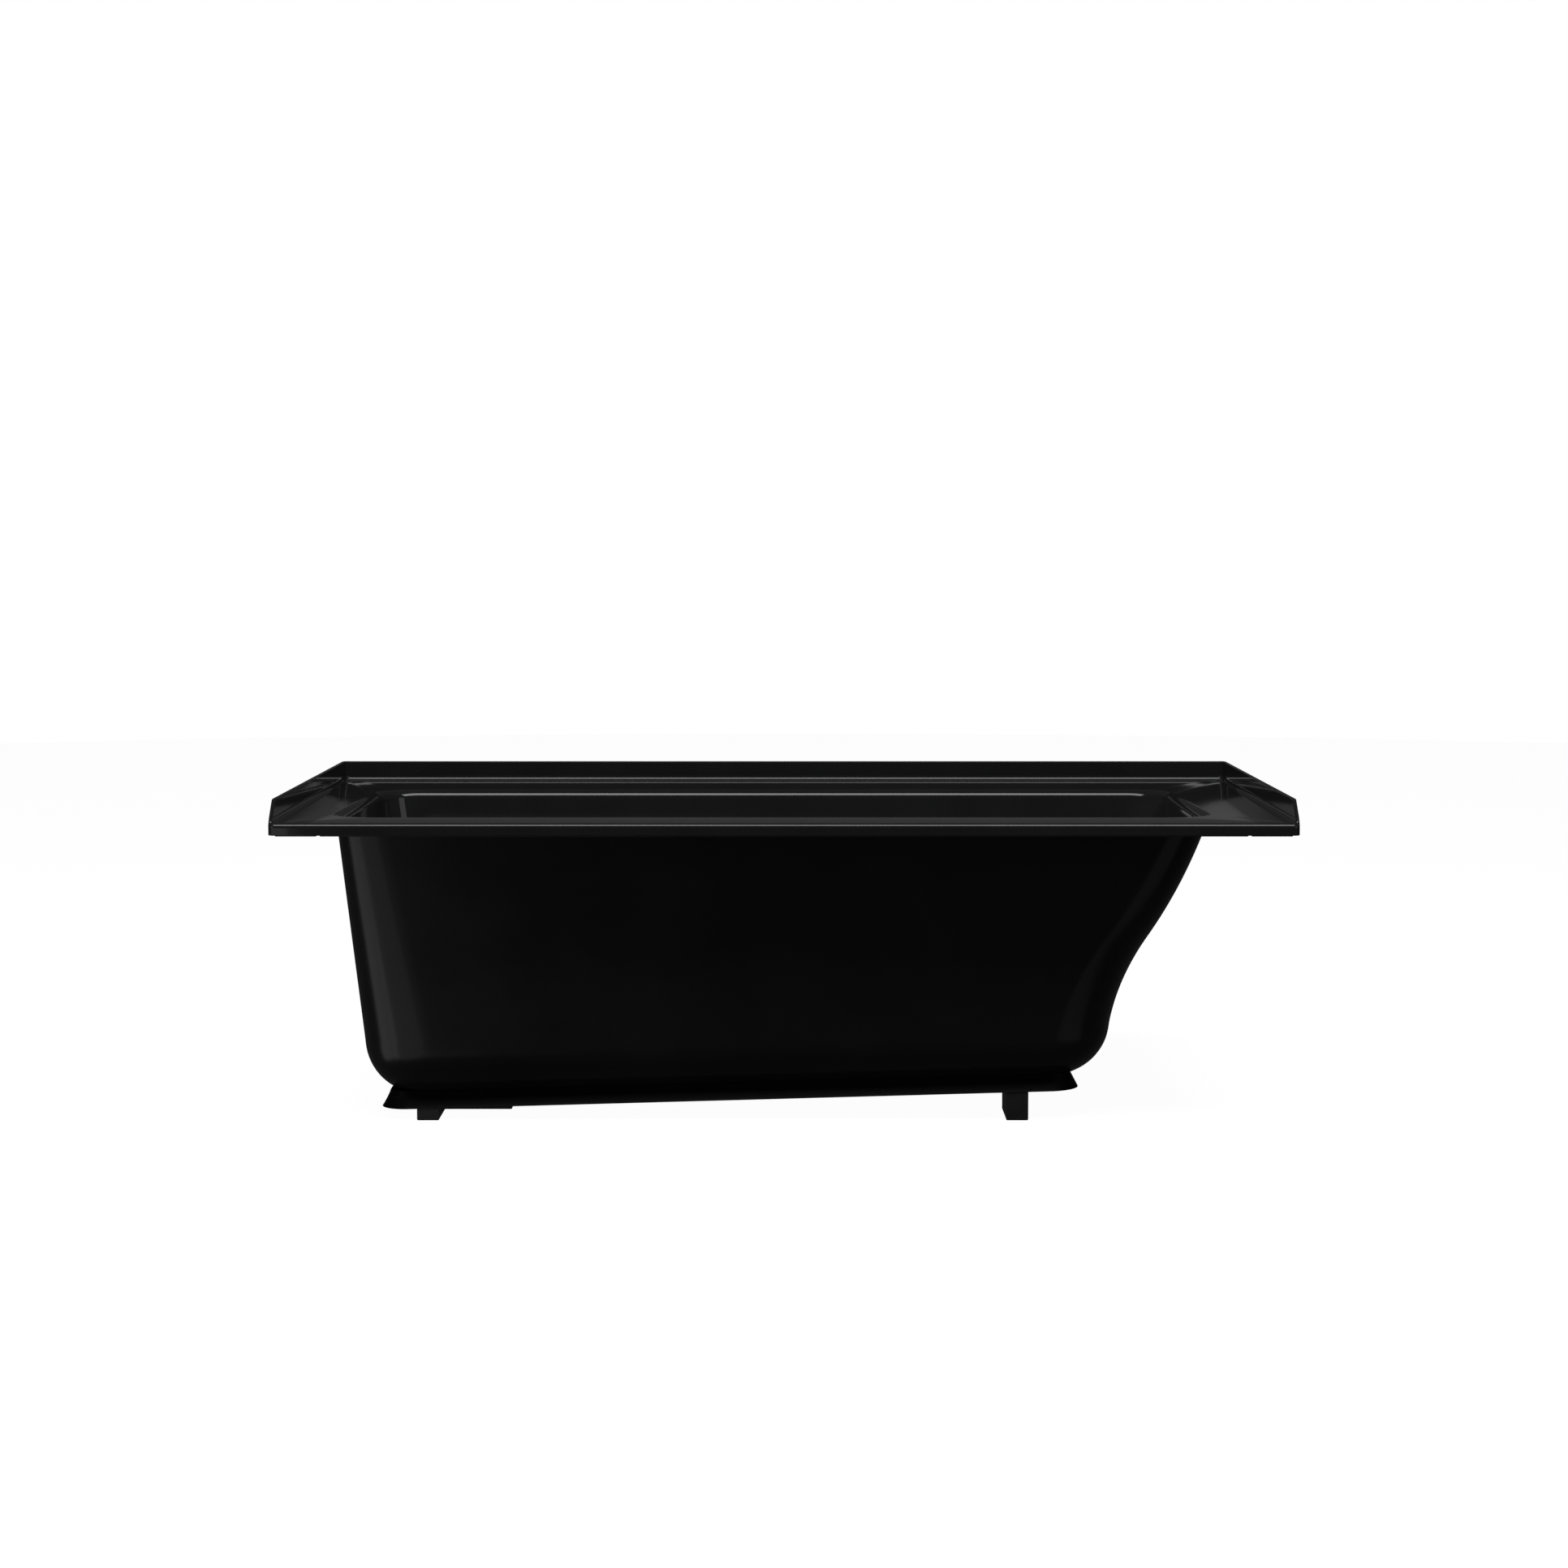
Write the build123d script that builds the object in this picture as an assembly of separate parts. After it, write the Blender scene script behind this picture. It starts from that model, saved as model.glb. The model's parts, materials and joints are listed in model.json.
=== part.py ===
from build123d import *
from math import atan, cos, radians, sin, sqrt
import os

# Three-wall alcove bath with an upstanding tile flange, standing on its own base board and feet.
#
# Row frame, in millimetres: X runs along the bath, with the drain end at -X and the backrest at +X;
# Y runs across it, with the open front ledge at -Y and the long wall at +Y; Z is up from the floor.
# The origin is on the floor, under the middle of the rim.
#
# A vacuum-formed acrylic skin is backed by a glass-fibre laminate. Both follow the same basin surface:
# `reach` gives how far that surface stands from the middle at a level, and its `skin` argument moves it
# outwards through the thickness of the wall.

# Rim
LENGTH = 1524.0
WIDTH = 813.0
RIM_HEIGHT = 475.0
LIP_DEPTH = 18.0
RIM_CORNER = 10.0
FLANGE_HEIGHT = 33.0
FLANGE_THICKNESS = 5.0
FLANGE_FILLET = 8.0
RAMP_START = 12.0
RAMP_RUN = 38.0
LEDGE_EDGE_RADIUS = 3.0

# Skins
ACRYLIC = 4.0
LAMINATE = 4.0
WALL = ACRYLIC + LAMINATE

# Basin, measured on the water side
OPENING_LEVEL = 471.25
OPENING_FALL = -0.0123
OPENING_RADIUS = 16.0
OPENING_CORNER = 60.0
FLOOR_LEVEL = 58.5
FLOOR_FALL = 0.028
FLOOR_RADIUS = 77.0
FLOOR_CORNER = 95.0
WALL_TOP_LEVEL = 455.0
DRAIN_WALL_TOP = 675.0
DRAIN_WALL_SLOPE = 0.097
SIDE_WALL_TOP = 289.0
SIDE_WALL_SLOPE = 0.09
# Backrest knots: level, distance from the middle, slope
BACKREST = ((124.0, 497.0, 0.13), (278.0, 554.5, 0.64), (WALL_TOP_LEVEL, 637.0, 0.33))

# Base
BOARD_THICKNESS = 16.5
BOARD_LEVEL = FLOOR_LEVEL - WALL - BOARD_THICKNESS
BASE_X = (-623.0, 456.0)
BASE_HALF_WIDTH = 236.0
BASE_CORNER = 45.0
SKIRT_FLARE = 13.0
SKIRT_HEIGHT = 26.5
SKIRT_WALL = 9.0
SKIRT_INSET = 30.0
FOOT_X = {"drain": (-565.0, -531.0), "backrest": (342.0, 376.0)}
FOOT_DEPTH = 95.0
FOOT_SETBACK = 2.0
FOOT_EDGE = 2.5
PLATE_X = (-529.0, -419.0)
PLATE_LEVEL = 18.0
BATTEN_THICKNESS = 12.0
BATTEN_WIDTH = 60.0
BATTEN_GAP = 6.0

# Foot screws
SCREW_RADIUS = 2.2
SCREW_LENGTH = 25.0
SCREW_BITE = 12.5
SCREW_HEAD_RADIUS = 4.5
SCREW_HEAD = 3.0
SCREW_INSET = 24.0
COUNTERBORE_RADIUS = 5.5

# Drain fitting, on a vertical axis through the low end of the floor
DRAIN_X = -508.0
DRAIN_HOLE_RADIUS = 26.0
DRAIN_SEAT_RADIUS = 40.0
DRAIN_SEAT_LEVEL = 42.6
DRAIN_BACK_LEVEL = DRAIN_SEAT_LEVEL - WALL
DRAIN_SLOT_HALF = 58.0
STRAINER_FLANGE_RADIUS = 36.0
STRAINER_FLANGE = 2.6
THREAD_RADIUS = 23.8
THREAD_END = 21.0
TAIL_RADIUS = 22.2
TAIL_BORE = 20.5
TAIL_END = 8.0
MOUTH_RADIUS = 28.0
MOUTH_DEPTH = 5.0
SPIDER_LEVEL = 24.0
SPIDER_THICKNESS = 5.0
SPIDER_BOSS_RADIUS = 6.5
SPOKE_WIDTH = 3.0
WASHER_THICKNESS = 3.0
WASHER_RADIUS = 34.0
NUT_THICKNESS = 8.0
NUT_ACROSS_FLATS = 62.0
SEALANT_THICKNESS = 0.8

# Stopper
STEM_RADIUS = 2.5
STEM_CLEARANCE = 0.05
SLEEVE_RADIUS = 4.5
SLEEVE_TOP = 36.0
SLEEVE_BOTTOM = 16.0
STEM_BOTTOM = 17.0
CAP_RADIUS = 26.0
CAP_THICKNESS = 3.5
CAP_CROWN = 2.0
CAP_LEVEL = 45.0
SEAL_RADIUS = 24.6
SEAL_FOOT_RADIUS = 23.0
SEAL_BEVEL = 1.0
SEAL_INNER = 9.0
SEAL_THICKNESS = 2.0

# Overflow, on an axis square to the drain-end wall
OVERFLOW_LEVEL = 395.0
OVERFLOW_HOLE_RADIUS = 31.75
COVER_RADIUS = 37.0
COVER_GAP = 0.05
COVER_DEPTH = 9.0
COVER_WALL = 1.8
COVER_SLOT = 5.0
OVERFLOW_GASKET = 3.0
OVERFLOW_GASKET_RADIUS = 41.0
CUP_FLANGE = 3.0
CUP_RADIUS = 31.0
CUP_DEPTH = 24.0
CUP_WALL = 2.5
COLLAR_RADIUS = 11.6
COLLAR_END = 43.0
SPIGOT_RADIUS = 10.5
SPIGOT_BORE = 8.0
SPIGOT_LENGTH = 22.0
OVERFLOW_SCREW_RADIUS = 2.5
OVERFLOW_SCREW_HEAD = 5.0

# Cylinders and boxes that stand on their lower face
UPRIGHT = (Align.CENTER, Align.CENTER, Align.MIN)


def section_slopes(level, skin):
    """Slopes of a basin section in X and in Y: the floor falls to the drain, the opening to the back."""
    share = min(1.0, max(0.0, (level - FLOOR_LEVEL) / (OPENING_LEVEL - skin - FLOOR_LEVEL)))
    return FLOOR_FALL * (1 - share), OPENING_FALL * share


def section_plane(level, skin):
    """Leaning plane of the basin section whose middle stands at a level."""
    fall_x, fall_y = section_slopes(level, skin)
    return Plane(origin=(0, 0, level), x_dir=(1, 0, fall_x), z_dir=(-fall_x, -fall_y, 1))


def floor_height(x, level=BOARD_LEVEL):
    """Height at x of a surface parallel to the basin's floor; by default the base board's underside."""
    return level + FLOOR_FALL * x


def drain_wall(level):
    """Distance of the drain-end wall from the middle, on the water side."""
    return DRAIN_WALL_TOP - DRAIN_WALL_SLOPE * (WALL_TOP_LEVEL - level)


def side_wall(level):
    """Distance of the front and back walls from the middle, on the water side."""
    return SIDE_WALL_TOP - SIDE_WALL_SLOPE * (WALL_TOP_LEVEL - level)


def backrest_wall(level):
    """Distance of the backrest from the middle: cubic spans through the knots, straight past their ends."""
    if level <= BACKREST[0][0]:
        return BACKREST[0][1] + BACKREST[0][2] * (level - BACKREST[0][0])
    if level >= BACKREST[-1][0]:
        return BACKREST[-1][1] + BACKREST[-1][2] * (level - BACKREST[-1][0])
    low, high = BACKREST[:2] if level < BACKREST[1][0] else BACKREST[1:]
    span = high[0] - low[0]
    u = (level - low[0]) / span
    return (
        low[1] * (2 * u**3 - 3 * u**2 + 1)
        + high[1] * (3 * u**2 - 2 * u**3)
        + span * low[2] * (u**3 - 2 * u**2 + u)
        + span * high[2] * (u**3 - u**2)
    )


def wall_angle(wall, level):
    """Angle of a wall from the vertical, in radians."""
    return atan((wall(level + 0.5) - wall(level - 0.5)))


def reach(wall, level, skin):
    """Distance of the basin surface from the middle at a level, `skin` millimetres outside the water side.

    The wall runs into the floor round one arc and out into the deck round another, each tangent to it.
    """
    floor_centre = FLOOR_LEVEL + FLOOR_RADIUS
    foot_angle = wall_angle(wall, FLOOR_LEVEL + FLOOR_RADIUS)
    foot = floor_centre - FLOOR_RADIUS * sin(foot_angle)
    foot_x = wall(foot) - FLOOR_RADIUS * cos(foot_angle)
    floor_arc = FLOOR_RADIUS + skin
    if level < floor_centre - floor_arc * sin(foot_angle):
        return foot_x + sqrt(max(0.0, floor_arc**2 - (level - floor_centre) ** 2))
    edge_centre = OPENING_LEVEL - OPENING_RADIUS
    edge_angle = wall_angle(wall, WALL_TOP_LEVEL)
    edge_arc = OPENING_RADIUS - skin
    if level > edge_centre + edge_arc * sin(edge_angle):
        edge_x = wall(edge_centre + OPENING_RADIUS * sin(edge_angle)) + OPENING_RADIUS * cos(edge_angle)
        return edge_x - sqrt(max(0.0, edge_arc**2 - (level - edge_centre) ** 2))
    angle = wall_angle(wall, level)
    return wall(level + skin * sin(angle)) + skin * cos(angle)


def corner_radius(level, skin):
    """Plan radius of the basin's corners at a level."""
    floor_centre = FLOOR_LEVEL + FLOOR_RADIUS
    edge_centre = OPENING_LEVEL - OPENING_RADIUS
    if level < floor_centre:
        arc = sqrt(max(0.0, (FLOOR_RADIUS + skin) ** 2 - (level - floor_centre) ** 2))
        return FLOOR_CORNER - FLOOR_RADIUS + arc
    if level > edge_centre:
        rise = sqrt(max(0.0, (OPENING_RADIUS - skin) ** 2 - (level - edge_centre) ** 2))
        return OPENING_CORNER + OPENING_RADIUS - rise
    share = (level - floor_centre) / (edge_centre - floor_centre)
    return FLOOR_CORNER + (OPENING_CORNER - FLOOR_CORNER) * share + skin


def rounded_rectangle(plane, x_low, x_high, y_low, y_high, radius):
    """Rounded rectangle between the given limits of a plane."""
    centre = Pos((x_low + x_high) / 2, (y_low + y_high) / 2)
    return plane * centre * RectangleRounded(x_high - x_low, y_high - y_low, radius)


def basin_section(level, skin):
    """Outline of the basin at a level."""
    side = reach(side_wall, level, skin)
    return rounded_rectangle(
        section_plane(level, skin),
        -reach(drain_wall, level, skin),
        reach(backrest_wall, level, skin),
        -side,
        side,
        corner_radius(level, skin),
    )


def basin(skin):
    """Solid that fills the basin up to the opening, `skin` millimetres outside the water side."""
    floor_centre = FLOOR_LEVEL + FLOOR_RADIUS
    edge_centre = OPENING_LEVEL - OPENING_RADIUS
    floor_arc = FLOOR_RADIUS + skin
    edge_arc = OPENING_RADIUS - skin
    floor_levels = [floor_centre - floor_arc * cos(radians(turn)) for turn in (0, 18, 34, 50, 66, 80)]
    wall_levels = [floor_levels[-1]] + [150 + 44 * step for step in range(7)] + [edge_centre]
    edge_levels = [edge_centre + edge_arc * sin(radians(turn)) for turn in (0, 20, 40, 60, 78, 90)]
    spans = [
        loft([basin_section(level, skin) for level in levels], ruled=False)
        for levels in (floor_levels, wall_levels, edge_levels)
    ]
    return spans[0] + spans[1] + spans[2]


def dish(opening, skin):
    """Shallow pit by which the deck falls from the tile flange to the given opening face."""
    inner_x = LENGTH / 2 - FLANGE_THICKNESS
    inner_y = WIDTH / 2 - FLANGE_THICKNESS
    front = opening.bounding_box().min.Y - 1.5
    plane = Plane.XY.offset(RIM_HEIGHT + 1 - skin)
    top = rounded_rectangle(plane, -inner_x, inner_x, front, inner_y, RIM_CORNER / 2)
    return loft([opening, top], ruled=True)


def rim_prism(inset, low, high, radius):
    """Upright prism with the rim's outline, drawn in by `inset`."""
    outline = RectangleRounded(LENGTH - 2 * inset, WIDTH - 2 * inset, radius)
    return Pos(0, 0, low) * extrude(outline, high - low)


def flange_clearance():
    """Space above the deck: open at the front, and bounded by the tile flange on the other three sides."""
    inner_x = LENGTH - 2 * FLANGE_THICKNESS
    depth = WIDTH + RIM_CORNER
    space = Box(inner_x, depth, FLANGE_HEIGHT + 2, align=(Align.CENTER, Align.MAX, Align.MIN))
    space = Pos(0, WIDTH / 2 - FLANGE_THICKNESS, RIM_HEIGHT) * space
    lower = space.edges().filter_by_position(Axis.Z, RIM_HEIGHT - 0.1, RIM_HEIGHT + 0.1)
    lower = lower.filter_by_position(Axis.Y, -WIDTH / 2, WIDTH / 2)
    upright = space.edges().filter_by(Axis.Z).filter_by_position(Axis.Y, 0, WIDTH / 2)
    return fillet(lower + upright, FLANGE_FILLET)


def front_ramps():
    """Space in front of the tile flange, bounded by the slopes at its two front ends."""
    front = -WIDTH / 2
    top = RIM_HEIGHT + FLANGE_HEIGHT + 1
    reach_back = front + RAMP_START + RAMP_RUN * (FLANGE_HEIGHT + 1) / FLANGE_HEIGHT
    ramp_foot = front + RAMP_START
    outline = Plane.YZ * Polyline(
        (front - 1, 0),
        (ramp_foot, 0),
        (ramp_foot, RIM_HEIGHT),
        (reach_back, top),
        (front - 1, top),
        close=True,
    )
    return extrude(make_face(outline), LENGTH / 2 + 1, both=True)


def drain_cylinder(radius, low, high):
    """Upright cylinder on the drain's axis."""
    return Pos(DRAIN_X, 0, low) * Cylinder(radius, high - low, align=UPRIGHT)


def overflow_plane():
    """Plane on the water side of the drain-end wall, its Z into the basin and its Y up the wall."""
    hole_top = OVERFLOW_LEVEL + OVERFLOW_HOLE_RADIUS
    hole_bottom = OVERFLOW_LEVEL - OVERFLOW_HOLE_RADIUS
    low, middle, high = (
        section_plane(level, 0).from_local_coords((-drain_wall(level), 0, 0))
        for level in (hole_bottom, OVERFLOW_LEVEL, hole_top)
    )
    return Plane(origin=middle, x_dir=(0, 1, 0), z_dir=(high.Z - low.Z, 0, low.X - high.X))


def overflow_cylinder(radius, low, high):
    """Cylinder on the overflow's axis, between two distances from the wall's water side."""
    return overflow_plane() * Pos(0, 0, low) * Cylinder(radius, high - low, align=UPRIGHT)


def hollow(skin):
    """Everything inside the basin surface: the basin, the deck's pit and the drain's flat seat."""
    tub = basin(skin)
    seat = drain_cylinder(DRAIN_SEAT_RADIUS + skin, DRAIN_SEAT_LEVEL - skin, DRAIN_SEAT_LEVEL + 30)
    return tub + dish(tub.faces().filter_by(GeomType.PLANE).sort_by(Axis.Z)[-1], skin) + seat


def make_skins():
    """Acrylic shell, and the glass-fibre laminate bonded to its underside."""
    water, bond, back = hollow(0), hollow(ACRYLIC), hollow(WALL)
    lip_level = RIM_HEIGHT - LIP_DEPTH
    holes = drain_cylinder(DRAIN_HOLE_RADIUS, 0, 80) + overflow_cylinder(OVERFLOW_HOLE_RADIUS, -30, 30)

    ledge = rim_prism(0, lip_level, RIM_HEIGHT, RIM_CORNER)
    ledge = fillet(ledge.faces().sort_by(Axis.Z)[-1].edges(), LEDGE_EDGE_RADIUS)
    flange = rim_prism(0, lip_level, RIM_HEIGHT + FLANGE_HEIGHT, RIM_CORNER)
    flange = flange - flange_clearance() - front_ramps()
    rim = ledge + flange
    rim -= rim_prism(ACRYLIC, lip_level - 1, RIM_HEIGHT - ACRYLIC, RIM_CORNER - ACRYLIC)
    shell = rim + bond - water - holes

    plate = rim_prism(ACRYLIC, RIM_HEIGHT - WALL, RIM_HEIGHT - ACRYLIC, RIM_CORNER - ACRYLIC)
    laminate = plate + back - bond - holes
    return {"bath_shell": shell, "laminate_shell": laminate}, back


def make_battens(under):
    """Four plywood battens under the deck; the laminate under the sloping deck trims their tops."""
    top = RIM_HEIGHT - WALL
    edge = ACRYLIC + BATTEN_GAP
    long_side = LENGTH - 2 * (edge + BATTEN_WIDTH + BATTEN_GAP)
    short_side = WIDTH - 2 * edge
    end_x = LENGTH / 2 - edge - BATTEN_WIDTH / 2
    side_y = WIDTH / 2 - edge - BATTEN_WIDTH / 2
    places = {
        "front_batten": (0, -side_y, long_side, BATTEN_WIDTH),
        "back_batten": (0, side_y, long_side, BATTEN_WIDTH),
        "drain_end_batten": (-end_x, 0, BATTEN_WIDTH, short_side),
        "backrest_end_batten": (end_x, 0, BATTEN_WIDTH, short_side),
    }
    return {
        name: Pos(x, y, top - BATTEN_THICKNESS / 2) * Box(size_x, size_y, BATTEN_THICKNESS) - under
        for name, (x, y, size_x, size_y) in places.items()
    }


def foot_places():
    """Name, X limits and Y limits of each foot."""
    outer = BASE_HALF_WIDTH - FOOT_SETBACK
    rows = {"front": (-outer, FOOT_DEPTH - outer), "back": (outer - FOOT_DEPTH, outer)}
    return [
        (f"{row}_{end}_foot", x_limits, y_limits)
        for end, x_limits in FOOT_X.items()
        for row, y_limits in rows.items()
    ]


def screw_places():
    """X, Y and seat level of each foot screw, seated so far down that its tip stops inside the board."""
    places = []
    for _, (x_low, x_high), (y_low, y_high) in foot_places():
        x = (x_low + x_high) / 2
        seat = floor_height(x) + SCREW_BITE - SCREW_LENGTH
        places += [(x, y, seat) for y in (y_low + SCREW_INSET, y_high - SCREW_INSET)]
    return places


def make_screws():
    """Wood screws, driven from below, that hold the feet to the board, as separate solids in one node."""
    screw = Pos(0, 0, -SCREW_HEAD) * Cylinder(SCREW_HEAD_RADIUS, SCREW_HEAD, align=UPRIGHT)
    screw += Cylinder(SCREW_RADIUS, SCREW_LENGTH, align=UPRIGHT)
    slot = Box(2 * SCREW_HEAD_RADIUS, 1.2, 1.2)
    screw -= Pos(0, 0, -SCREW_HEAD) * (slot + Rot(0, 0, 90) * slot)
    return Compound(children=[Pos(*place) * screw for place in screw_places()])


def screw_holes():
    """Clearance for every screw: the shank's own cylinder, and a counterbore for its head."""
    holes = []
    for x, y, seat in screw_places():
        holes.append(Pos(x, y, seat) * Cylinder(SCREW_RADIUS, SCREW_LENGTH, align=UPRIGHT))
        holes.append(Pos(x, y, -1) * Cylinder(COUNTERBORE_RADIUS, seat + 1, align=UPRIGHT))
    return holes


def drain_slot():
    """Opening through the base, from the drain to the drain end, that leaves room for the waste pipe."""
    run = DRAIN_X - BASE_X[0] + SKIRT_FLARE
    slot = Box(run, 2 * DRAIN_SLOT_HALF, 120, align=(Align.MAX, Align.CENTER, Align.CENTER))
    return Pos(DRAIN_X, 0, 0) * (slot + Cylinder(DRAIN_SLOT_HALF, 120))


def base_outline(rise, inset):
    """Outline of the base, parallel to the basin's floor, `rise` above the board's underside."""
    plane = Plane(origin=(0, 0, BOARD_LEVEL + rise), x_dir=(1, 0, FLOOR_FALL), z_dir=(-FLOOR_FALL, 0, 1))
    half = BASE_HALF_WIDTH - inset
    return rounded_rectangle(plane, BASE_X[0] + inset, BASE_X[1] - inset, -half, half, BASE_CORNER - inset)


def base_slab(low, high, inset):
    """Slab between two rises of the base's outline, drawn in by an inset."""
    return loft([base_outline(low, inset), base_outline(high, inset)], ruled=True)


def block_under_base(x_low, x_high, y_low, y_high, bottom):
    """Block whose flat bottom is at a level and whose top follows the underside of the board."""
    top_low, top_high = floor_height(x_low), floor_height(x_high)
    outline = Plane.XZ * Polyline(
        (x_low, bottom), (x_high, bottom), (x_high, top_high), (x_low, top_low), close=True
    )
    return Pos(0, y_high, 0) * extrude(make_face(outline), y_high - y_low)


def make_base(back):
    """Base board, its flared skirt, the levelling plate, the feet and their screws."""
    holes = screw_holes()
    slot = drain_slot()
    board = base_slab(0, BOARD_THICKNESS, SKIRT_WALL) - slot
    skirt = loft([base_outline(0, 0), base_outline(SKIRT_HEIGHT, SKIRT_FLARE)], ruled=True)
    skirt = skirt - base_slab(-1, BOARD_THICKNESS, SKIRT_WALL)
    skirt = skirt - base_slab(BOARD_THICKNESS - 1, SKIRT_HEIGHT + 2, SKIRT_INSET)
    skirt = skirt - back - slot
    outer = BASE_HALF_WIDTH - FOOT_SETBACK
    plate = block_under_base(*PLATE_X, -outer, outer, PLATE_LEVEL) - slot
    parts = {"base_board": board, "levelling_plate": plate}
    for hole in holes:
        parts["base_board"] -= hole
    for name, (x_low, x_high), (y_low, y_high) in foot_places():
        foot = block_under_base(x_low, x_high, y_low, y_high, 0)
        foot = fillet(foot.faces().sort_by(Axis.Z)[0].edges(), FOOT_EDGE)
        for hole in holes:
            foot -= hole
        parts[name] = foot
    parts["base_skirt"] = skirt
    parts["foot_screws"] = make_screws()
    return parts


def ring(profile):
    """Solid of revolution about the drain's axis from (radius, level) points."""
    outline = Plane.XZ * Polyline(*profile, close=True)
    return Pos(DRAIN_X, 0, 0) * revolve(make_face(outline), Axis.Z)


def make_drain():
    """Strainer body with its seals and locknut, and the toe-touch stopper that rides in its spider."""
    seat = DRAIN_SEAT_LEVEL + SEALANT_THICKNESS
    top = seat + STRAINER_FLANGE
    body = ring(
        (
            (TAIL_BORE, TAIL_END),
            (TAIL_RADIUS, TAIL_END),
            (TAIL_RADIUS, THREAD_END),
            (THREAD_RADIUS, THREAD_END),
            (THREAD_RADIUS, seat),
            (STRAINER_FLANGE_RADIUS, seat),
            (STRAINER_FLANGE_RADIUS, seat + 0.8),
            (STRAINER_FLANGE_RADIUS - 3, top),
            (MOUTH_RADIUS, top),
            (TAIL_BORE, top - MOUTH_DEPTH),
        )
    )
    spoke = Box(2 * TAIL_BORE + 1, SPOKE_WIDTH, SPIDER_THICKNESS, align=UPRIGHT)
    body += Pos(DRAIN_X, 0, SPIDER_LEVEL) * (spoke + Rot(0, 0, 90) * spoke)
    body += drain_cylinder(SPIDER_BOSS_RADIUS, SPIDER_LEVEL - 2, SPIDER_LEVEL + SPIDER_THICKNESS + 2)
    body -= drain_cylinder(SLEEVE_RADIUS, 0, 80)

    sealant = drain_cylinder(STRAINER_FLANGE_RADIUS, DRAIN_SEAT_LEVEL, seat)
    sealant -= drain_cylinder(DRAIN_HOLE_RADIUS, 0, 80)
    nut_top = DRAIN_BACK_LEVEL - WASHER_THICKNESS
    washer = drain_cylinder(WASHER_RADIUS, nut_top, DRAIN_BACK_LEVEL) - drain_cylinder(THREAD_RADIUS, 0, 80)
    nut = extrude(RegularPolygon(NUT_ACROSS_FLATS / 2, 6, major_radius=False), NUT_THICKNESS)
    nut = chamfer(nut.edges().filter_by(Axis.Z, reverse=True), 0.8)
    nut = Pos(DRAIN_X, 0, nut_top - NUT_THICKNESS) * nut
    nut -= drain_cylinder(THREAD_RADIUS, 0, 80)

    bore = STEM_RADIUS + STEM_CLEARANCE
    sleeve = drain_cylinder(SLEEVE_RADIUS, SLEEVE_BOTTOM, SLEEVE_TOP) - drain_cylinder(bore, 0, 80)
    stem = drain_cylinder(STEM_RADIUS, STEM_BOTTOM, CAP_LEVEL)
    stem += drain_cylinder(SEAL_INNER, CAP_LEVEL - SEAL_THICKNESS, CAP_LEVEL)
    seal_bottom = CAP_LEVEL - SEAL_THICKNESS
    seal = ring(
        (
            (SEAL_INNER, seal_bottom),
            (SEAL_FOOT_RADIUS, seal_bottom),
            (SEAL_RADIUS, seal_bottom + SEAL_BEVEL),
            (SEAL_RADIUS, CAP_LEVEL),
            (SEAL_INNER, CAP_LEVEL),
        )
    )
    crown_radius = (CAP_RADIUS**2 + CAP_CROWN**2) / (2 * CAP_CROWN)
    cap_top = CAP_LEVEL + CAP_THICKNESS + CAP_CROWN
    cap = drain_cylinder(CAP_RADIUS, CAP_LEVEL, cap_top)
    cap &= Pos(DRAIN_X, 0, cap_top - crown_radius) * Sphere(crown_radius)
    return {
        "strainer_body": body,
        "strainer_sealant": sealant,
        "drain_washer": washer,
        "drain_locknut": nut,
        "stopper_sleeve": sleeve,
        "stopper_stem": stem,
        "stopper_seal": seal,
        "stopper_cap": cap,
    }


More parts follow.
